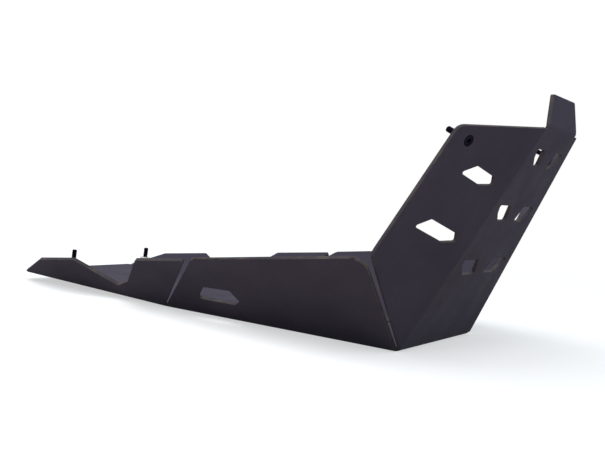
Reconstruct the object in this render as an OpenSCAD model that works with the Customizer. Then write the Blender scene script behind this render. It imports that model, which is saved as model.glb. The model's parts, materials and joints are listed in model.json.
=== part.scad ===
// Motorcycle engine guard folded from one sheet: a flat bottom with flared side flanges,
// a raked front face that narrows upwards, a wing on each side of it and a tab on top.
// X points forward, Y to the left and Z up. The flat of the bottom lies on Z = 0.

/* [Sheet] */
// Thickness of the sheet
sheet_t = 4; // [3:0.5:5]
// Inside radius of every fold
fold_r = 4; // [3:0.5:5]
// Clearance between the ends of folds that meet in a corner
fold_clear = 0.5; // [0.3:0.1:2]
// Width of the relief slots that run into the bottom from its front corners
relief_w = 5; // [3:0.5:6]
// Length of those relief slots from the corner to the centre of their round ends
relief_l = 18; // [12:1:24]

/* [Bottom] */
// Width between the sharp lines of the two side folds
bottom_w = 200; // [180:1:230]
// Length of the flat, from the front fold to the slots
flat_l = 285; // [260:1:320]
// Length of the rear stretch behind the slots
rear_l = 218; // [200:1:240]
// Angle by which the rear stretch rises
rear_rise = 2.3; // [0.5:0.1:4]
// Radius of the rear corners
rear_corner_r = 4; // [3:0.5:8]

/* [Bottom openings] */
// Diameter of the access hole under the drain plug
drain_d = 42; // [30:1:50]
// Distance of the access hole behind the front fold
drain_x = 150; // [130:1:170]
// Length of each water slot
water_l = 46; // [30:1:56]
// Width of each water slot
water_w = 11; // [6:0.5:14]
// Distance of the water slots from the centre line
water_y = 58; // [50:1:66]
// Distance between the front and the rear water slots
water_step = 150; // [120:1:170]

/* [Front flanges] */
// Angle between a flange and the ground
flange_rise = 45; // [40:1:50]
// Height of the top edge above the corner, up the flange
flange_h = 135; // [110:1:145]
// Fall of the top edge towards the rear
flange_fall = 11.8; // [8:0.1:14]
// Distance of the front edge behind the corner
flange_setback = 3.5; // [3:0.1:8]
// Radius of the upper front corner
flange_corner_r = 13; // [6:0.5:18]
// Radius of the corner at the slot's mouth
mouth_r = 7; // [3:0.5:10]

/* [Slots between the flanges] */
// Lean of the slot's front edge, off square to the fold
slot_lean = 39; // [32:0.1:42]
// Angle by which the slot opens towards its mouth
slot_open = 4; // [2:0.1:6]
// Width of the slot at its foot, along the fold
slot_w = 2; // [1.6:0.1:4]

/* [Rear flanges] */
// Height of the top edge at the slots, up the flange
tail_h = 76; // [70:1:84]
// Fall of the top edge towards the rear
tail_fall = 14; // [10:0.1:16]
// Length of the slanted end, along the fold
tail_l = 43; // [30:1:55]
// Distance of the notch's front lip behind the slots
notch_x = 12; // [8:1:16]
// Length of the notch at its mouth
notch_l = 102; // [90:1:108]
// Height of the notch's lowest point, up the flange
notch_low = 18.5; // [14:0.5:26]
// Distance of that lowest point behind the slots
notch_low_x = 62; // [56:1:70]
// Distance of the knee in the notch's front side behind the slots
notch_knee_x = 42; // [36:1:46]
// Height of that knee above the lowest point
notch_knee_h = 12; // [8:0.5:16]
// Radius of the notch's two lips
notch_lip_r = 4; // [2:0.5:6]
// Radius of the knee and of the lowest point
notch_low_r = 5; // [3:0.5:7]
// Radius of the upper rear corner
tail_corner_r = 5; // [3:0.5:8]
// Radius of the corner at the slot's mouth
tail_mouth_r = 2; // [1:0.5:4]

/* [Flange openings] */
// Distance of the opening's nose behind the front fold
port_x = 174; // [150:1:190]
// Length of the opening along its foot
port_l = 57; // [40:1:62]
// Height of the opening's foot above the fold
port_foot = 27; // [20:0.5:34]
// Height of the opening
port_h = 23; // [20:0.5:26]
// Height of the nose above the foot
port_nose_h = 7.4; // [6:0.1:10]
// Distance of the foot's front end behind the nose
port_nose_foot = 8.3; // [7:0.1:10]
// Distance of the top's front end behind the nose
port_nose_top = 6.9; // [6:0.1:9]
// Distance of the top's rear end ahead of the foot's
port_tail_in = 16.1; // [12:0.1:18]
// Fall of the top towards its rear end
port_fall = 1.6; // [0:0.1:3]

/* [Front face] */
// Angle between the front face and the ground
face_rise = 65; // [60:0.5:70]
// Length of the front face, from the front fold to the tab's fold
face_l = 258.5; // [240:0.5:272]
// Width between the wings' folds, at the height of the tab's fold
face_top_w = 115; // [110:1:126]

/* [Face openings] */
// Number of pairs, one above the other
window_pairs = 3; // [2:1:3]
// Height of each opening, up the face
window_h = 18; // [12:0.5:22]
// Distance of the lowest pair above the front fold
window_low = 88; // [80:0.5:92]
// Step from one pair to the next
window_step = 64; // [56:0.5:66]
// Distance of the lowest pair's inner ends from the centre line, at their foot
window_inner = 11.5; // [9:0.5:15]
// Amount by which the inner ends move out with each step up
window_inner_step = 1.2; // [0:0.1:3]
// Lean of the lowest pair's inner ends
window_inner_lean = 11; // [8:0.1:13]
// Amount by which that lean drops with each step up
window_inner_drop = 2.7; // [1.5:0.1:3.5]
// Distance of the lowest pair's outer ends from the centre line, at their foot
window_outer = 46.5; // [42:0.5:50]
// Amount by which the outer ends move in with each step up
window_narrow = 8.8; // [7:0.1:10]
// Lean of the lowest pair's outer ends
window_outer_lean = 20.7; // [17:0.1:23]
// Amount by which that lean drops with each step up
window_outer_drop = 2.2; // [1:0.1:3]
// Amount by which the outer ends bulge at half their height
window_bulge = 3.3; // [2:0.1:4]
// Corner radius of every opening
window_r = 1.8; // [0.8:0.1:2.5]

/* [Wings] */
// Angle by which a wing folds back from the front face
wing_fold = 21.6; // [17:0.1:25]
// Width of a wing, square to its fold
wing_w = 108.5; // [100:0.5:115]
// Fall in that width towards the top
wing_taper = 3.5; // [0:0.1:6]
// Distance of the lower edge above the corner, along the fold
wing_gap = 3; // [2:0.1:6]
// Lean of the lower edge, off square to the fold
wing_gap_lean = 33.2; // [32:0.1:38]
// Lean of the top edge, off square to the fold
wing_top_lean = 23.1; // [18:0.1:26]
// Radius of the lower rear corner
wing_low_r = 12; // [6:0.5:16]
// Radius of the upper rear corner
wing_high_r = 12; // [6:0.5:14]

/* [Wing openings] */
// Height of each opening, along the fold
vent_h = 14; // [10:0.5:16]
// Distance of the openings' noses from the fold
vent_nose = 19.5; // [16:0.5:24]
// Distance of the lower side's inner end behind the nose
vent_nose_low = 16.8; // [14:0.1:19]
// Distance of the upper side's inner end behind the nose
vent_nose_high = 4.9; // [4:0.1:7]
// Distance of the upper side's outer end ahead of the tail
vent_tail_in = 16; // [13:0.5:18]
// Distance of the lower opening above the corner
vent_low = 115.5; // [110:0.5:122]
// Distance of the lower opening's tail from the fold
vent_low_tail = 83; // [70:0.5:88]
// Distance of the upper opening above the corner
vent_high = 179.5; // [170:0.5:182]
// Distance of the upper opening's tail from the fold
vent_high_tail = 69.5; // [60:0.5:74]

/* [Tab] */
// Angle between the tab and the ground
tab_rise = 94.5; // [88:0.5:98]
// Height of the tab above its fold
tab_h = 32.5; // [26:0.5:40]
// Width of the tab at its fold
tab_w = 98; // [88:1:100]
// Width of the tab at its top
tab_top_w = 78; // [68:1:84]
// Radius of the tab's corners
tab_r = 3; // [2:0.5:8]
// Depth of the shoulders beside the tab, below the start of its fold
shoulder = 1; // [0.5:0.1:3]

/* [Fixings] */
// Thread diameter of the screws
screw_d = 6; // [5:0.5:8]
// Amount by which the thread's pitch diameter is under the thread diameter
thread_under = 0.65; // [0.5:0.05:1]
// Diameter of the countersunk heads
head_d = 11.8; // [10.5:0.1:14]
// Width across the flats of the hexagon socket
socket_af = 4; // [3:0.5:5]
// Depth of the socket
socket_h = 2.4; // [1.5:0.1:3]
// Free length of thread beyond the spacer
stud_l = 12; // [8:1:18]
// Clearance round each screw in what it passes through
screw_gap = 0.25; // [0.15:0.05:0.4]
// Outside diameter of the rubber washers
rubber_d = 18; // [16:0.5:22]
// Thickness of the rubber washers
rubber_t = 2; // [1:0.5:3]
// Outside diameter of the spacers
spacer_d = 13; // [12:0.5:16]
// Length of the front spacers
front_spacer_l = 12; // [6:1:20]
// Length of the rear spacers
rear_spacer_l = 17; // [10:1:26]
// Chamfer at the ends of spacers and screws
end_chamfer = 0.7; // [0.3:0.1:1]
// Distance of the front screws below the wings' top edge
front_screw_top = 14.5; // [12:0.5:18]
// Distance of the front screws from the wings' rear edge
front_screw_edge = 21.5; // [16:0.5:26]
// Distance of the rear screws from the centre line
rear_screw_y = 70; // [50:1:76]
// Distance of the rear screws from the rear edge
rear_screw_x = 48; // [30:1:70]

/* [Hidden] */
$fn = 64;
corner_steps = 6;
overcut = 1;
// How far a flat stretch runs into the round of its fold, and how proud the round stands
lap = 0.4;
skin = 0.03;

half_w = bottom_w / 2;
outer_r = fold_r + sheet_t;
taper = atan((half_w - face_top_w / 2) / face_l);
tab_turn = tab_rise - face_rise;
flange_reach = setback(flange_rise) - lap;
face_reach = setback(face_rise) - lap;
wing_reach = setback(wing_fold) - lap;
tab_reach = setback(tab_turn) - lap;
deck_edge = half_w - flange_reach;
shoulder_y = face_l - setback(tab_turn) - shoulder;
fold_top = shoulder_y / cos(taper);
fold_end = setback(flange_rise) + fold_clear;
front_screw_l = sheet_t + rubber_t + front_spacer_l + stud_l;
rear_screw_l = sheet_t + rubber_t + rear_spacer_l + stud_l;

// The foremost line is on the round of the tab's fold, the rearmost one ends the bottom
front_x = (face_l - setback(tab_turn)) * cos(face_rise) - outer_r * sin(face_rise) + outer_r;
rear_x = -flat_l - rear_l * cos(rear_rise);
centre_x = (front_x + rear_x) / 2;

coat_colour = [0.10, 0.09, 0.10];
steel_colour = [0.07, 0.07, 0.08];
rubber_colour = [0.09, 0.09, 0.09];
turned_colour = [0.70, 0.70, 0.72];

// Distance from the sharp line of a fold to the start of its round
function setback(angle) = outer_r * tan(angle / 2);
function unit(v) = v / norm(v);
function turned(v, a) = [v.x * cos(a) - v.y * sin(a), v.x * sin(a) + v.y * cos(a)];
function flat(p) = [p.x, p.y];

// The arc of radius r that rounds corner p between its neighbours a and b
function corner_arc(a, p, b, r) =
    let (u = unit(a - p), v = unit(b - p), half = acos(u * v) / 2,
         centre = p + unit(u + v) * r / sin(half),
         start = p + u * r / tan(half) - centre,
         turn = (180 - 2 * half) * sign(cross(v, u)))
    [for (i = [0 : corner_steps]) centre + turned(start, turn * i / corner_steps)];

// Closed outline from corners given as [x, y, radius]
function rounded(c) = let (n = len(c)) [for (i = [0 : n - 1])
    each c[i].z == 0 ? [flat(c[i])]
         : corner_arc(flat(c[(i + n - 1) % n]), flat(c[i]), flat(c[(i + 1) % n]), c[i].z)];

// Where an edge of the slot, leaning by the tangent m from x at its foot, meets a top edge
// of height h that falls by the tangent k
function slot_mouth(h, k, x, m) =
    let (y = (h - k * x - k * m * flange_reach) / (1 - k * m)) [x - (y - flange_reach) * m, y];

// Frames of the folded stretches: the outer face is z = 0 and the sheet rises to sheet_t.
// Bottom: x to the right, y forward. Face and tab: x to the right, y upwards.
// Flange: x backwards along its fold, y outwards. Wing: x up its fold, y outwards.
module bottom_frame() translate([-centre_x, 0, 0]) rotate([0, 0, -90]) children();
module rear_frame() translate([0, -flat_l, 0]) rotate([-rear_rise, 0, 0]) children();
module face_frame() rotate([face_rise, 0, 0]) children();
module tab_frame() face_frame() translate([0, face_l, 0]) rotate([tab_turn, 0, 0]) children();
module flange_frame() translate([half_w, 0, 0]) rotate([0, 0, -90]) rotate([flange_rise, 0, 0])
    children();
module wing_frame() face_frame() translate([-half_w, 0, 0]) rotate([0, 0, 90 - taper])
    rotate([wing_fold, 0, 0]) children();
module each_side() for (side = [0, 1]) mirror([side, 0, 0]) children();

module sheet(outline) linear_extrude(sheet_t) polygon(outline);
module through(outline) translate([0, 0, -overcut]) linear_extrude(sheet_t + 2 * overcut)
    polygon(outline);
module round_hole(r) translate([0, 0, -overcut]) cylinder(r = r, h = sheet_t + 2 * overcut);

// Round of a fold along x, from a to b, that leads into a stretch in y > 0
module fold_round(a, b, angle) translate([a, setback(angle), outer_r]) rotate([90, 0, 90])
    rotate([0, 0, 270 - angle]) rotate_extrude(angle = angle)
        translate([fold_r - skin, 0]) square([sheet_t + 2 * skin, b - a]);

// Slot with round ends, along y
module water_slot() {
    for (end = [-1, 1]) translate([0, end * (water_l - water_w) / 2, 0]) round_hole(water_w / 2);
    translate([0, 0, sheet_t / 2])
        cube([water_w, water_l - water_w, sheet_t + 2 * overcut], center = true);
}

// Countersunk hole for a screw that enters from the outer face
module screw_hole() {
    round_hole(screw_d / 2 + screw_gap);
    head_r = head_d / 2 + screw_gap / 2;
    translate([0, 0, -overcut])
        cylinder(r1 = head_r + overcut, r2 = 0, h = head_r + overcut);
}

module front_screw_place() {
    y = wing_w - wing_taper - front_screw_edge;
    translate([fold_top - y * tan(wing_top_lean) - front_screw_top / cos(wing_top_lean), y, 0])
        children();
}
module rear_screw_place() rear_frame()
    translate([rear_screw_y, rear_screw_x - rear_l, 0]) children();

// Side view of the bottom: the flat, then the stretch that rises to the rear
function bottom_profile() =
    let (inner = sheet_t * tan(rear_rise / 2), c = cos(rear_rise), s = sin(rear_rise))
    [[-face_reach, 0], [-face_reach, sheet_t], [inner - flat_l, sheet_t],
     [-flat_l - rear_l * c + sheet_t * s, rear_l * s + sheet_t * c],
     [-flat_l - rear_l * c, rear_l * s], [-flat_l, 0]];

// What rounds off a rear corner of the bottom
module rear_corner_cut() rear_frame() translate([deck_edge, -rear_l, -overcut])
    linear_extrude(sheet_t + 2 * overcut) difference() {
        translate([-rear_corner_r, -overcut]) square(rear_corner_r + overcut);
        translate([-rear_corner_r, rear_corner_r]) circle(r = rear_corner_r);
    }

// Slot with a round end that runs in from a front corner
module relief_slot() translate([half_w, 0, 0]) rotate([0, 0, 135]) {
    translate([0, 0, sheet_t / 2])
        cube([relief_w, 2 * relief_l, sheet_t + 2 * overcut], center = true);
    translate([0, relief_l, 0]) round_hole(relief_w / 2);
}

module bottom() difference() {
    translate([-deck_edge, 0, 0]) rotate([90, 0, 90]) linear_extrude(2 * deck_edge)
        polygon(bottom_profile());
    translate([0, -drain_x, 0]) round_hole(drain_d / 2);
    each_side() {
        relief_slot();
        for (y = [-drain_x + water_step / 2, -drain_x - water_step / 2])
            translate([water_y, y, 0]) water_slot();
        rear_screw_place() screw_hole();
        rear_corner_cut();
    }
}

// Opening in a front flange: a pointed nose in front, a slanted tail behind
function port_outline() = rounded(
    [[port_x + port_nose_foot, port_foot, window_r], [port_x + port_l, port_foot, window_r],
     [port_x + port_l - port_tail_in, port_foot + port_h - port_fall, window_r],
     [port_x + port_nose_top, port_foot + port_h, window_r],
     [port_x, port_foot + port_nose_h, window_r]]);

module front_flange() flange_frame() {
    fall = tan(flange_fall);
    foot_x = flat_l - slot_w / 2;
    mouth = slot_mouth(flange_h, fall, foot_x, tan(slot_lean));
    difference() {
        sheet(rounded([[flange_setback, flange_reach, 0], [foot_x, flange_reach, 0],
                       [mouth.x, mouth.y, mouth_r],
                       [flange_setback, flange_h - fall * flange_setback, flange_corner_r]]));
        through(port_outline());
    }
    fold_round(fold_end, foot_x, flange_rise);
}

module rear_flange() rear_frame() flange_frame() {
    fall = tan(tail_fall);
    tail_x = rear_l - tail_l;
    tail_y = tail_h - fall * tail_x;
    foot_x = slot_w / 2;
    mouth = slot_mouth(tail_h, fall, foot_x, tan(slot_lean - slot_open));
    notch_end = notch_x + notch_l;
    sheet(rounded([[foot_x, flange_reach, 0],
                   [rear_l - tail_l * flange_reach / tail_y, flange_reach, 0],
                   [tail_x, tail_y, tail_corner_r],
                   [notch_end, tail_h - fall * notch_end, notch_lip_r],
                   [notch_low_x, notch_low, notch_low_r],
                   [notch_knee_x, notch_low + notch_knee_h, notch_low_r],
                   [notch_x, tail_h - fall * notch_x, notch_lip_r],
                   [mouth.x, mouth.y, tail_mouth_r]]));
    fold_round(foot_x, rear_l - rear_corner_r, flange_rise);
}

// Openings of the face, counted from the bottom pair; their outer ends have a knee
function window_outline(i) =
    let (y = window_low + i * window_step, top = y + window_h,
         inner = window_inner + window_inner_step * i,
         inner_lean = window_inner_lean - window_inner_drop * i,
         outer = window_outer - window_narrow * i,
         outer_lean = window_outer_lean - window_outer_drop * i)
    rounded([[inner, y, window_r], [outer, y, window_r],
             [outer + outer_lean / 2 + window_bulge, (y + top) / 2, window_r],
             [outer + outer_lean, top, window_r], [inner + inner_lean, top, window_r]]);

// Half width of the flat face at height y, up to where the wing's round begins
function face_side(y) = half_w - tan(taper) * y - wing_reach / cos(taper);

module front_face() {
    top = face_l - tab_reach;
    side = face_side(shoulder_y);
    inset = half_w - fold_end;
    face_frame() difference() {
        sheet([[-face_side(face_reach), face_reach], [face_side(face_reach), face_reach],
               [side, shoulder_y], [tab_w / 2, shoulder_y], [tab_w / 2, top],
               [-tab_w / 2, top], [-tab_w / 2, shoulder_y], [-side, shoulder_y]]);
        each_side() for (i = [0 : window_pairs - 1]) through(window_outline(i));
    }
    face_frame() fold_round(-inset, inset, face_rise);
}

// Opening of a wing at height x along the fold, its nose towards the fold
function vent_outline(x, tail) = rounded(
    [[x, tail, window_r], [x, vent_nose + vent_nose_low, window_r],
     [x + vent_h / 2, vent_nose, window_r], [x + vent_h, vent_nose + vent_nose_high, window_r],
     [x + vent_h, tail - vent_tail_in, window_r]]);

module wing() wing_frame() {
    gap_slope = tan(wing_gap_lean);
    top_slope = tan(wing_top_lean);
    high_w = wing_w - wing_taper;
    difference() {
        sheet(rounded([[wing_gap + wing_reach * gap_slope, wing_reach, 0],
                       [fold_top - wing_reach * top_slope, wing_reach, 0],
                       [fold_top - high_w * top_slope, high_w, wing_high_r],
                       [wing_gap + wing_w * gap_slope, wing_w, wing_low_r]]));
        through(vent_outline(vent_low, vent_low_tail));
        through(vent_outline(vent_high, vent_high_tail));
        front_screw_place() screw_hole();
    }
    fold_round(fold_end, fold_top - wing_reach * top_slope, wing_fold);
}

module tab() tab_frame() {
    straight = setback(tab_turn) + sheet_t / 2;
    sheet(rounded([[-tab_w / 2, straight, 0], [-tab_w / 2, tab_reach, 0],
                   [tab_w / 2, tab_reach, 0], [tab_w / 2, straight, 0],
                   [tab_top_w / 2, tab_h, tab_r], [-tab_top_w / 2, tab_h, tab_r]]));
    fold_round(-tab_w / 2 - skin, tab_w / 2 + skin, tab_turn);
}

module guard_plate() color(coat_colour) bottom_frame() {
    bottom();
    each_side() {
        front_flange();
        rear_flange();
    }
    front_face();
    each_side() wing();
    tab();
}

// Countersunk screw along z, its head flush with the outer face. The free thread at its far end
// is plain, at the pitch diameter.
module screw(l) color(steel_colour) difference() {
    shank_r = screw_d / 2;
    thread_r = shank_r - thread_under / 2;
    rotate_extrude() polygon([[0, 0], [head_d / 2, 0], [shank_r, head_d / 2 - shank_r],
                              [shank_r, l - stud_l], [thread_r, l - stud_l],
                              [thread_r, l - end_chamfer], [thread_r - end_chamfer, l], [0, l]]);
    translate([0, 0, -overcut])
        cylinder(d = socket_af / cos(30), h = socket_h + overcut, $fn = 6);
}

module rubber_washer() color(rubber_colour) translate([0, 0, sheet_t]) difference() {
    cylinder(d = rubber_d, h = rubber_t);
    translate([0, 0, -overcut]) cylinder(r = screw_d / 2 + screw_gap, h = rubber_t + 2 * overcut);
}

module spacer(l) color(turned_colour) translate([0, 0, sheet_t + rubber_t]) rotate_extrude() {
    inner = screw_d / 2 + screw_gap;
    outer = spacer_d / 2;
    polygon([[inner, 0], [outer - end_chamfer, 0], [outer, end_chamfer],
             [outer, l - end_chamfer], [outer - end_chamfer, l], [inner, l]]);
}

module front_fixing(side) bottom_frame() mirror([side, 0, 0]) wing_frame() front_screw_place()
    children();
module rear_fixing(side) bottom_frame() mirror([side, 0, 0]) rear_screw_place() children();

guard_plate();
front_fixing(1) screw(front_screw_l);  // front_screw_right
front_fixing(1) rubber_washer();  // front_washer_right
front_fixing(1) spacer(front_spacer_l);  // front_spacer_right
front_fixing(0) screw(front_screw_l);  // front_screw_left
front_fixing(0) rubber_washer();  // front_washer_left
front_fixing(0) spacer(front_spacer_l);  // front_spacer_left
rear_fixing(0) screw(rear_screw_l);  // rear_screw_right
rear_fixing(0) rubber_washer();  // rear_washer_right
rear_fixing(0) spacer(rear_spacer_l);  // rear_spacer_right
rear_fixing(1) screw(rear_screw_l);  // rear_screw_left
rear_fixing(1) rubber_washer();  // rear_washer_left
rear_fixing(1) spacer(rear_spacer_l);  // rear_spacer_left
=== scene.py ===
"""Looks of a folded sheet-metal engine guard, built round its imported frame.

The plate stands in for the CAD plate as the same form with its sheet edges eased, and the
fixings stand in for theirs with threads, sockets and rubber that bulges under load.
Everything is in metres, in the row's frame.
"""

import json  # noqa: E402
import math  # noqa: E402

import bmesh  # noqa: E402
import bpy  # noqa: E402
from mathutils import Matrix, Vector  # noqa: E402
from mathutils.bvhtree import BVHTree  # noqa: E402


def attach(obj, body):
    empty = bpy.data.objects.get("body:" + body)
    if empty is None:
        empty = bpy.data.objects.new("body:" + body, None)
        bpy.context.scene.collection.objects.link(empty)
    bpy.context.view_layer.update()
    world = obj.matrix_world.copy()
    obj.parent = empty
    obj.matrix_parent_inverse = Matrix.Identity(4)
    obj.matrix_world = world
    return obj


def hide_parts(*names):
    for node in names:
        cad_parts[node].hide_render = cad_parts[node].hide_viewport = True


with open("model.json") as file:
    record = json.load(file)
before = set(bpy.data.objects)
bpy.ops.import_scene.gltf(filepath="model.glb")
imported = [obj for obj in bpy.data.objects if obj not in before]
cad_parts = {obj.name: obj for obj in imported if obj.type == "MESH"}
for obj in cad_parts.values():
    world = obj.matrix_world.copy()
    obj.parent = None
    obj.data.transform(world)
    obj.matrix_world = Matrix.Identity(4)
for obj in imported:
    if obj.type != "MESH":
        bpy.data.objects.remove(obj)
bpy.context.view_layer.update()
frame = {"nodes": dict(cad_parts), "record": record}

MM = 0.001
scene = bpy.context.scene

# ---------------------------------------------------------------- camera, first of all
CAMERA_AT = (0.58148, -1.00574, 0.16776)
CAMERA_RIGHT = (0.86507, 0.49054, 0.10501)
CAMERA_VIEW = (-0.48733, 0.87142, -0.05612)
CAMERA_LENS = 59.72
CAMERA_SENSOR = 36.0


def make_camera():
    data = bpy.data.cameras.new("camera")
    data.lens = CAMERA_LENS
    data.sensor_width = CAMERA_SENSOR
    data.clip_start, data.clip_end = 0.01, 60
    camera = bpy.data.objects.new("camera", data)
    right = Vector(CAMERA_RIGHT).normalized()
    back = -Vector(CAMERA_VIEW).normalized()
    up = back.cross(right).normalized()
    right = up.cross(back)
    turn = Matrix((right, up, back)).transposed().to_4x4()
    camera.matrix_world = Matrix.Translation(CAMERA_AT) @ turn
    scene.collection.objects.link(camera)
    scene.camera = camera


# ---------------------------------------------------------------- node helpers
class Nodes:
    """A material's node tree, with short ways to add and join nodes."""

    def __init__(self, name):
        self.material = bpy.data.materials.new(name)
        self.material.use_nodes = True
        self.tree = self.material.node_tree
        self.shader = self.tree.nodes["Principled BSDF"]
        self.place = self.add("ShaderNodeTexCoord").outputs["Object"]

    def add(self, kind, **values):
        node = self.tree.nodes.new(kind)
        for key, value in values.items():
            setattr(node, key, value)
        return node

    def join(self, a, b):
        self.tree.links.new(a, b)

    def noise(self, scale, detail=3.0, rough=0.5):
        node = self.add("ShaderNodeTexNoise")
        node.inputs["Scale"].default_value = scale
        node.inputs["Detail"].default_value = detail
        node.inputs["Roughness"].default_value = rough
        self.join(self.place, node.inputs["Vector"])
        return node.outputs["Fac"]

    def ramp(self, fac, *stops):
        """Colour ramp from (position, colour) pairs."""
        node = self.add("ShaderNodeValToRGB")
        band = node.color_ramp
        while len(band.elements) < len(stops):
            band.elements.new(0.5)
        for element, (at, colour) in zip(band.elements, stops):
            element.position = at
            element.color = (*colour, 1)
        self.join(fac, node.inputs["Fac"])
        return node.outputs["Color"]

    def spread(self, fac, low, high, out_low, out_high):
        """Maps fac from low..high to out_low..out_high."""
        node = self.add("ShaderNodeMapRange")
        for key, value in zip(("From Min", "From Max", "To Min", "To Max"),
                              (low, high, out_low, out_high)):
            node.inputs[key].default_value = value
        self.join(fac, node.inputs["Value"])
        return node.outputs["Result"]

    def mix(self, fac, under, over):
        """Lays the colour over on the tone under, by the share fac."""
        node = self.add("ShaderNodeMix", data_type="RGBA")
        self.join(fac, node.inputs[0])
        self.join(under, node.inputs[6])
        node.inputs[7].default_value = (*over, 1)
        return node.outputs[2]

    def bump(self, height, distance, strength=1.0, below=None):
        node = self.add("ShaderNodeBump")
        node.inputs["Distance"].default_value = distance
        node.inputs["Strength"].default_value = strength
        self.join(height, node.inputs["Height"])
        if below is not None:
            self.join(below, node.inputs["Normal"])
        return node.outputs["Normal"]

    def set(self, **values):
        for key, value in values.items():
            socket = self.shader.inputs[key.replace("_", " ")]
            if isinstance(value, bpy.types.NodeSocket):
                self.join(value, socket)
            else:
                socket.default_value = value
        return self.material


# ---------------------------------------------------------------- materials
COAT_TINT = (0.042, 0.033, 0.043)


def powder_coat(name, dark, light, speck, edge_wear_and_highlight=None):
    """Matte fine-texture powder coat: cloudy tone, fine grain, a few paler specks.
    edge_wear_and_highlight is a tan laid in patches on the cut edges: partly the colour that
    shows through where an edge has lost some of its coat, partly a painted highlight of warm
    light on the edges."""
    n = Nodes(name)
    clouds = n.noise(14, 5, 0.6)
    tone = n.ramp(clouds, (0.36, dark), (0.64, light))
    tint = n.noise(5, 3, 0.5)
    tone = n.mix(n.spread(tint, 0.35, 0.65, 0.0, 0.30), tone, COAT_TINT)
    grain = n.noise(1500, 2, 0.6)
    tone = n.mix(n.spread(grain, 0.35, 0.65, 0.0, 0.18), tone, speck)
    if edge_wear_and_highlight is not None:
        # painted highlight: tan patches on the cut edges, partly worn coat and partly warm edge
        # light painted in as colour
        wear_and_highlight_patches = n.noise(60, 5, 0.65)
        tone = n.mix(n.spread(wear_and_highlight_patches, 0.45, 0.70, 0.05, 0.45), tone, edge_wear_and_highlight)
    rough = n.spread(n.noise(35, 3), 0.3, 0.7, 0.70, 0.82)
    orange_peel = n.bump(n.noise(300, 2, 0.5), 0.00012, 0.45)
    normal = n.bump(grain, 0.00005, 0.6, orange_peel)
    return n.set(Base_Color=tone, Roughness=rough, Normal=normal, Specular_IOR_Level=0.04)


def blackened_steel(name):
    n = Nodes(name)
    tone = n.ramp(n.noise(220, 4), (0.35, (0.003, 0.003, 0.008)), (0.65, (0.007, 0.006, 0.015)))
    rough = n.spread(n.noise(500, 3), 0.3, 0.7, 0.45, 0.62)
    normal = n.bump(n.noise(3000, 2), 0.00002, 0.6)
    return n.set(Base_Color=tone, Roughness=rough, Normal=normal, Metallic=0.0,
                 Specular_IOR_Level=0.03)


def turned_aluminium(name):
    n = Nodes(name)
    tone = n.ramp(n.noise(150, 3), (0.3, (0.60, 0.60, 0.62)), (0.7, (0.72, 0.72, 0.74)))
    rough = n.spread(n.noise(900, 2), 0.3, 0.7, 0.28, 0.42)
    normal = n.bump(n.noise(2500, 2), 0.00002, 0.5)
    return n.set(Base_Color=tone, Roughness=rough, Normal=normal, Metallic=1.0)


def black_rubber(name):
    n = Nodes(name)
    tone = n.ramp(n.noise(120, 4), (0.35, (0.016, 0.016, 0.017)), (0.7, (0.034, 0.033, 0.033)))
    rough = n.spread(n.noise(400, 3), 0.3, 0.7, 0.68, 0.85)
    normal = n.bump(n.noise(1800, 3), 0.00004, 0.8)
    return n.set(Base_Color=tone, Roughness=rough, Normal=normal, Specular_IOR_Level=0.3)


# ---------------------------------------------------------------- plate
WELD = 0.05 * MM  # points closer than this are one
FLAT = math.radians(0.8)  # faces that turn less than this are one
SHEET = 4.0 * MM
SHEET_SLACK = 0.4 * MM
RAY_START = 0.02 * MM
RAY_REACH = 1.0
SHARP = math.radians(40)  # edges that turn more than this are eased
EASE = 0.35 * MM
EASE_STEPS = 2
FOLDED = math.radians(140)  # faces that turn more than this lie over each other
TINY = 0.001 * MM * MM  # too small a face for its direction to count
SLIVER = 0.004 * MM
PLATE_CREASE = math.radians(35)
RUN = "run"
COAT, CUT = 0, 1  # material slots


def sharp_runs(bm):
    """Sharp edges in runs that go on through each point where just two of them meet."""
    left = {e for e in bm.edges if len(e.link_faces) == 2 and e.calc_face_angle(0) > SHARP}
    order = sorted(left, key=lambda e: e.index)
    meeting = {}
    for e in order:
        for v in e.verts:
            meeting.setdefault(v, []).append(e)
    runs = []
    for start in order:
        if start not in left:
            continue
        left.discard(start)
        run, ahead = [start], [start]
        while ahead:
            for v in ahead.pop().verts:
                for e in meeting[v] if len(meeting[v]) == 2 else ():
                    if e in left:
                        left.discard(e)
                        run.append(e)
                        ahead.append(e)
        runs.append(run)
    return runs


def folds_over(bm, faces, surface):
    """Cuts these faces into triangles, and says whether one leaves the surface, turns against
    it or lies over its neighbour."""
    cut = bmesh.ops.triangulate(bm, faces=[f for f in faces if len(f.verts) > 3])["faces"]
    bm.normal_update()
    near = {f for f in faces if f.is_valid} | set(cut)
    for face in near:
        if face.calc_area() > TINY:
            _, normal, _, gap = surface.find_nearest(face.calc_center_median())
            if gap > EASE or face.normal.dot(normal) < 0.0:
                return True
    return any(len(e.link_faces) != 2 or e.calc_face_angle(0) > FOLDED
               for f in near for e in f.edges)


def ease_run(bm, number, surface):
    """Copy of the mesh with one run of edges eased, or None where that would fold it over."""
    trial = bm.copy()
    mark = trial.edges.layers.int[RUN]
    made = bmesh.ops.bevel(trial, geom=[e for e in trial.edges if e[mark] == number],
                           offset=EASE, offset_type="OFFSET", segments=EASE_STEPS, profile=0.5,
                           affect="EDGES", clamp_overlap=False, material=CUT)
    trial.faces.index_update()
    places = sorted({f.index for v in made["verts"] for f in v.link_faces})
    test = trial.copy()
    test.faces.ensure_lookup_table()
    bad = folds_over(test, [test.faces[i] for i in places], surface)
    test.free()
    if bad:
        trial.free()
        return None
    trial.normal_update()
    return trial


def trim_run(bm, number):
    """Takes the edges at a run's two ends out of it."""
    mark = bm.edges.layers.int[RUN]
    run = [e for e in bm.edges if e[mark] == number]
    ends = [e for e in run
            if any(sum(other[mark] == number for other in v.link_edges) == 1 for v in e.verts)]
    for e in ends:
        e[mark] = 0


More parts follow.
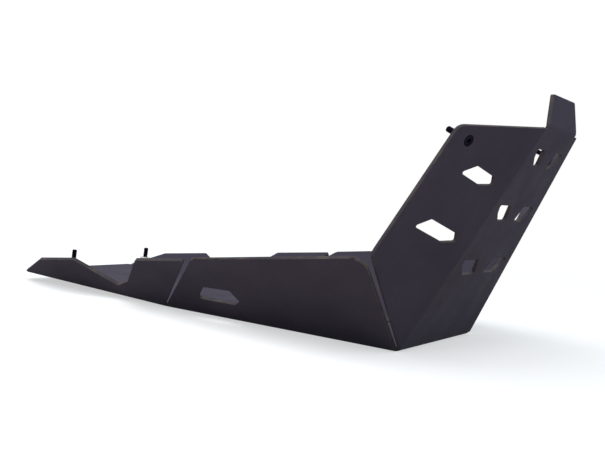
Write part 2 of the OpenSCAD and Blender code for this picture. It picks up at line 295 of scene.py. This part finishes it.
def mark_cut_faces(bm, surface):
    """Faces that have the sheet's thickness behind them are coated, the others are cut."""
    for face in bm.faces:
        inwards = -face.normal
        start = face.calc_center_median() + inwards * RAY_START
        depth = surface.ray_cast(start, inwards, RAY_REACH)[3]
        coated = depth is not None and abs(depth - SHEET) < SHEET_SLACK
        face.material_index = COAT if coated else CUT


def ease_edges(bm, surface):
    """Eases each run of sharp edges that allows it, whole or else without its two ends."""
    bm.edges.index_update()
    mark = bm.edges.layers.int.new(RUN)
    runs = sharp_runs(bm)
    for number, run in enumerate(runs, 1):
        for e in run:
            e[mark] = number
    for number, run_length in enumerate(map(len, runs), 1):
        trial = ease_run(bm, number, surface)
        if trial is None and run_length > 2:
            trim_run(bm, number)
            trial = ease_run(bm, number, surface)
        if trial is not None:
            bm.free()
            bm = trial
    bmesh.ops.dissolve_degenerate(bm, dist=SLIVER, edges=bm.edges)
    bmesh.ops.triangulate(bm, faces=[f for f in bm.faces if len(f.verts) > 4])
    return bm


def make_plate(coat, edge):
    """The CAD plate with eased edges; its cut faces carry a material of their own."""
    bm = bmesh.new()
    bm.from_mesh(frame["nodes"]["guard_plate"].data)
    bmesh.ops.remove_doubles(bm, verts=bm.verts, dist=WELD)
    bm.normal_update()
    surface = BVHTree.FromBMesh(bm)
    mark_cut_faces(bm, surface)
    bmesh.ops.dissolve_limit(bm, angle_limit=FLAT, verts=bm.verts, edges=bm.edges,
                             delimit={"MATERIAL"})
    bm = ease_edges(bm, surface)
    mesh = bpy.data.meshes.new("plate")
    bm.to_mesh(mesh)
    bm.free()
    mesh.materials.append(coat)
    mesh.materials.append(edge)
    for polygon in mesh.polygons:
        polygon.use_smooth = True
    mesh.set_sharp_from_angle(angle=PLATE_CREASE)
    plate = bpy.data.objects.new("plate", mesh)
    scene.collection.objects.link(plate)
    plate.modifiers.new("weighted", "WEIGHTED_NORMAL").keep_sharp = True
    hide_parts("guard_plate")
    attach(plate, "root")


# ---------------------------------------------------------------- fixings
SCREW_R = 3.0 * MM
THREAD_ROOT = 2.45 * MM
THREAD_EASE = 0.03 * MM  # crest below the nominal radius
THREAD_ROWS = 8  # rings to a turn
PITCH = 1.0 * MM
HEX_FLAT = 2.0 * MM  # half of the hexagon's width over flats
SOCKET = 2.4 * MM
SOCKET_CHAMFER = 0.25 * MM
# the head's rim as (below the head's radius, depth)
HEAD_RIM = ((0.35 * MM, 0.0), (0.08 * MM, 0.08 * MM), (0.0, 0.22 * MM), (0.06 * MM, 0.35 * MM))
STUD = 12.0 * MM
ROUND = 48  # points to a ring
FIXING_CREASE = math.radians(30)
DOUBLE = 0.001 * MM
BULGE = 0.45 * MM
BULGE_STEPS = 8
# the end of a spacer as (below its radius, depth)
SPACER_END = ((0.7 * MM, 0.0), (0.2 * MM, 0.25 * MM), (0.0, 0.7 * MM))
MARK_FROM = 0.8 * MM
MARK_STEP = 0.5 * MM
MARK_DEPTH = 0.04 * MM
DEEP_MARK = 0.10 * MM
DEEP_EVERY = 4


class Turned:
    """A turned CAD node measured along and round the axis of the mount that its screw ends in."""

    def __init__(self, node, mount):
        axis = Vector(mount["axis"]).normalized()
        at = Vector(mount["pos_m"])
        offsets = [v.co - at for v in frame["nodes"][node].data.vertices]
        along = [o.dot(axis) for o in offsets]
        across = [(o - axis * o.dot(axis)).length for o in offsets]
        self.node = node
        self.length = max(along) - min(along)
        self.inner, self.outer = min(across), max(across)
        x = axis.orthogonal().normalized()
        turn = Matrix((x, axis.cross(x), axis)).transposed().to_4x4()
        self.place = Matrix.Translation(at + axis * min(along)) @ turn


def loops_mesh(name, loops, capped=True):
    """Mesh through rings of equally many points, with a face over each end if it is capped."""
    bm = bmesh.new()
    rings = [[bm.verts.new(p) for p in loop] for loop in loops]
    for a, b in zip(rings, rings[1:]):
        for i in range(len(a)):
            j = (i + 1) % len(a)
            bm.faces.new((a[i], a[j], b[j], b[i]))
    if capped:
        bm.faces.new(list(reversed(rings[0])))
        bm.faces.new(rings[-1])
    bmesh.ops.recalc_face_normals(bm, faces=bm.faces)
    mesh = bpy.data.meshes.new(name)
    bm.to_mesh(mesh)
    bm.free()
    return mesh


def ring(radius, z):
    """Points round the axis at height z; radius is a number or a function of the angle."""
    points = []
    for i in range(ROUND):
        angle = 2 * math.pi * i / ROUND
        r = radius(angle) if callable(radius) else radius
        points.append((r * math.cos(angle), r * math.sin(angle), z))
    return points


def hexagon(flat):
    """Polar radius of a hexagon with corners on the ring's points."""
    step = math.pi / 3
    return lambda angle: flat / math.cos((angle + step / 2) % step - step / 2)


def thread_radius(angle, z):
    """Trapezoid thread form: root, flank, crest, flank."""
    phase = (z / PITCH - angle / (2 * math.pi)) % 1.0
    rise = min(1.0, max(0.0, (0.5 - abs(phase - 0.5) - 0.12) / 0.26))
    return THREAD_ROOT + (SCREW_R - THREAD_EASE - THREAD_ROOT) * rise


def thread_loops(length):
    """Rings of the cut thread, which fades in at the shank and out at the tip."""
    start = length - STUD
    loops = []
    z = start + 0.3 * MM
    while z <= length - 0.5 * MM:
        share = min(1.0, (z - start) / (0.6 * MM), (length - z) / (0.9 * MM))
        loops.append(ring(lambda a, z=z, k=share:
                          THREAD_ROOT + (thread_radius(a, z) - THREAD_ROOT) * k, z))
        z += PITCH / THREAD_ROWS
    return loops


def screw_mesh(name, length, head_r):
    """Countersunk screw with a hexagon socket, its head at z = 0 and a cut thread at the end."""
    socket_r = HEX_FLAT / math.cos(math.pi / 6) + SOCKET_CHAMFER
    loops = [ring(hexagon(HEX_FLAT), SOCKET), ring(hexagon(HEX_FLAT), SOCKET_CHAMFER),
             ring(socket_r, 0.0)]
    loops += [ring(head_r - inset, z) for inset, z in HEAD_RIM]
    loops += [ring(SCREW_R, head_r - SCREW_R), ring(SCREW_R, length - STUD)]
    loops += thread_loops(length)
    loops += [ring(THREAD_ROOT - 0.15 * MM, length - 0.15 * MM),
              ring(THREAD_ROOT - 0.5 * MM, length)]
    return loops_mesh(name, loops)


def turned_mesh(name, bore, profile):
    """Ring-shaped piece: profile is a list of (radius, z) along its outside."""
    low, high = profile[0][1], profile[-1][1]
    loops = [ring(bore, low)] + [ring(r, z) for r, z in profile] + [ring(bore, high)]
    loops.append(ring(bore, low))
    mesh = loops_mesh(name, loops, capped=False)
    bm = bmesh.new()
    bm.from_mesh(mesh)
    bmesh.ops.remove_doubles(bm, verts=bm.verts, dist=DOUBLE)
    bmesh.ops.recalc_face_normals(bm, faces=bm.faces)
    bm.to_mesh(mesh)
    bm.free()
    return mesh


def place(mesh, turned, slot, material):
    """Puts a piece drawn along z where its CAD node is."""
    for polygon in mesh.polygons:
        polygon.use_smooth = True
    mesh.set_sharp_from_angle(angle=FIXING_CREASE)
    mesh.materials.append(material)
    mesh.transform(turned.place)
    piece = bpy.data.objects.new(mesh.name, mesh)
    scene.collection.objects.link(piece)
    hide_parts(turned.node)
    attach(piece, "root")


def bulged_rim(rim, thick):
    """Outside of a rubber washer that its screw squeezes."""
    profile = []
    for i in range(BULGE_STEPS + 1):
        t = math.pi * i / BULGE_STEPS
        profile.append((rim - BULGE * (1 - math.sin(t)), thick * (1 - math.cos(t)) / 2))
    return profile


def turned_rim(rim, tall):
    """Outside of a turned spacer: eased ends and fine tool marks."""
    profile = [(rim - inset, z) for inset, z in SPACER_END]
    for i in range(int((tall - 2 * MARK_FROM) / MARK_STEP)):
        z = MARK_FROM + i * MARK_STEP
        depth = MARK_DEPTH if i % DEEP_EVERY else DEEP_MARK
        profile += [(rim, z), (rim - depth, z + MARK_STEP / 2)]
    return profile + [(rim - inset, tall - z) for inset, z in reversed(SPACER_END)]


def make_fixing(end, side, mount, steel, rubber, alu):
    """Screw, washer and spacer of one fixing, each where its CAD node is."""
    screw = Turned(f"{end}_screw_{side}", mount)
    washer = Turned(f"{end}_washer_{side}", mount)
    spacer = Turned(f"{end}_spacer_{side}", mount)
    place(screw_mesh(f"{end}_hex_screw_{side}", screw.length, screw.outer),
          screw, "black_screw", steel)
    place(turned_mesh(f"{end}_rubber_washer_{side}", washer.inner,
                      bulged_rim(washer.outer, washer.length)), washer, "rubber", rubber)
    place(turned_mesh(f"{end}_turned_spacer_{side}", spacer.inner,
                      turned_rim(spacer.outer, spacer.length)), spacer, "turned_spacer", alu)


make_camera()
coat = powder_coat("coat", (0.038, 0.034, 0.050), (0.050, 0.045, 0.065), (0.080, 0.076, 0.095))
# the tan last colour is partly edge wear and partly a painted highlight of warm light on the cut
# edges
edge = powder_coat("coat_edge", (0.038, 0.033, 0.042), (0.050, 0.044, 0.053),
                   (0.082, 0.074, 0.079), (0.150, 0.122, 0.088))
steel = blackened_steel("screw_steel")
alu = turned_aluminium("spacer_aluminium")
rubber = black_rubber("washer_rubber")
make_plate(coat, edge)
mounts = {mount["name"]: mount for mount in frame["record"]["mounts"]}
for end in ("front", "rear"):
    for side in ("right", "left"):
        make_fixing(end, side, mounts[f"{end}_stud_{side}"], steel, rubber, alu)

# ---------------------------------------------------------------- floor, light
FLOOR_Z = -0.2 * MM
FLOOR_R = 6.0
FLOOR_TONE = (0.92, 0.92, 0.92)
FLOOR_BOUNCE = (0.62, 0.53, 0.48)  # its tone in the light that it throws back
FADE_FROM, FADE_TO, FADE_LEAST = 0.40, 1.4, 0.55  # where the floor turns to plain white
SKY = (0.76, 0.89, 1.0)
SKY_STRENGTH = 0.70


def seen_directly(tree):
    """Socket that is 1 for camera, glossy and transmission rays."""
    path = tree.nodes.new("ShaderNodeLightPath")
    total = path.outputs["Is Camera Ray"]
    for other in ("Is Glossy Ray", "Is Transmission Ray"):
        add = tree.nodes.new("ShaderNodeMath")
        add.operation = "MAXIMUM"
        tree.links.new(total, add.inputs[0])
        tree.links.new(path.outputs[other], add.inputs[1])
        total = add.outputs[0]
    return total


def make_floor():
    """Pale floor that keeps the shadow and turns to plain white further out."""
    bm = bmesh.new()
    bmesh.ops.create_circle(bm, cap_ends=True, cap_tris=False, segments=96, radius=FLOOR_R)
    mesh = bpy.data.meshes.new("floor")
    bm.to_mesh(mesh)
    bm.free()
    floor = bpy.data.objects.new("floor", mesh)
    floor.location.z = FLOOR_Z
    scene.collection.objects.link(floor)
    material = bpy.data.materials.new("floor_pale")
    material.use_nodes = True
    tree = material.node_tree
    lit = tree.nodes["Principled BSDF"]
    seen = seen_directly(tree)
    tone = tree.nodes.new("ShaderNodeMix")
    tone.data_type = "RGBA"
    tone.inputs[6].default_value = (*FLOOR_BOUNCE, 1)
    tone.inputs[7].default_value = (*FLOOR_TONE, 1)
    tree.links.new(seen, tone.inputs[0])
    tree.links.new(tone.outputs[2], lit.inputs["Base Color"])
    lit.inputs["Roughness"].default_value = 0.9
    lit.inputs["Specular IOR Level"].default_value = 0.0
    white = tree.nodes.new("ShaderNodeEmission")
    place = tree.nodes.new("ShaderNodeTexCoord")
    length = tree.nodes.new("ShaderNodeVectorMath")
    length.operation = "LENGTH"
    fade = tree.nodes.new("ShaderNodeMapRange")
    fade.interpolation_type = "SMOOTHSTEP"
    fade.inputs["From Min"].default_value = FADE_FROM
    fade.inputs["From Max"].default_value = FADE_TO
    fade.inputs["To Min"].default_value = FADE_LEAST
    share = tree.nodes.new("ShaderNodeMath")
    share.operation = "MULTIPLY"
    mix = tree.nodes.new("ShaderNodeMixShader")
    tree.links.new(place.outputs["Object"], length.inputs[0])
    tree.links.new(length.outputs["Value"], fade.inputs["Value"])
    tree.links.new(fade.outputs["Result"], share.inputs[0])
    tree.links.new(seen, share.inputs[1])
    tree.links.new(share.outputs[0], mix.inputs["Fac"])
    tree.links.new(lit.outputs["BSDF"], mix.inputs[1])
    tree.links.new(white.outputs["Emission"], mix.inputs[2])
    tree.links.new(mix.outputs["Shader"], tree.nodes["Material Output"].inputs["Surface"])
    mesh.materials.append(material)


def make_world():
    """Cool soft light all round, white where it is seen."""
    world = bpy.data.worlds.new("studio")
    scene.world = world
    world.use_nodes = True
    tree = world.node_tree
    lit = tree.nodes["Background"]
    lit.inputs["Color"].default_value = (*SKY, 1)
    lit.inputs["Strength"].default_value = SKY_STRENGTH
    white = tree.nodes.new("ShaderNodeBackground")
    white.inputs["Color"].default_value = (1, 1, 1, 1)
    white.inputs["Strength"].default_value = 1.0
    mix = tree.nodes.new("ShaderNodeMixShader")
    tree.links.new(seen_directly(tree), mix.inputs["Fac"])
    tree.links.new(lit.outputs["Background"], mix.inputs[1])
    tree.links.new(white.outputs["Background"], mix.inputs[2])
    tree.links.new(mix.outputs["Shader"], tree.nodes["World Output"].inputs["Surface"])


def soft_box(name, at, target, size, watts, colour):
    data = bpy.data.lights.new(name, "AREA")
    data.shape = "SQUARE"
    data.size = size
    data.energy = watts
    data.color = colour
    light = bpy.data.objects.new(name, data)
    light.location = at
    light.rotation_mode = "QUATERNION"
    light.rotation_quaternion = (Vector(target) - Vector(at)).to_track_quat("-Z", "Y")
    scene.collection.objects.link(light)


make_floor()
make_world()
soft_box("overhead", (0.1, -0.7, 2.4), (0.05, 0, 0.1), 2.6, 60, (1.0, 0.99, 0.98))
soft_box("back", (-1.6, 0.3, 1.5), (0.2, -0.1, 0.15), 0.9, 6, (1.0, 0.93, 0.84))

scene.view_settings.view_transform = "Standard"
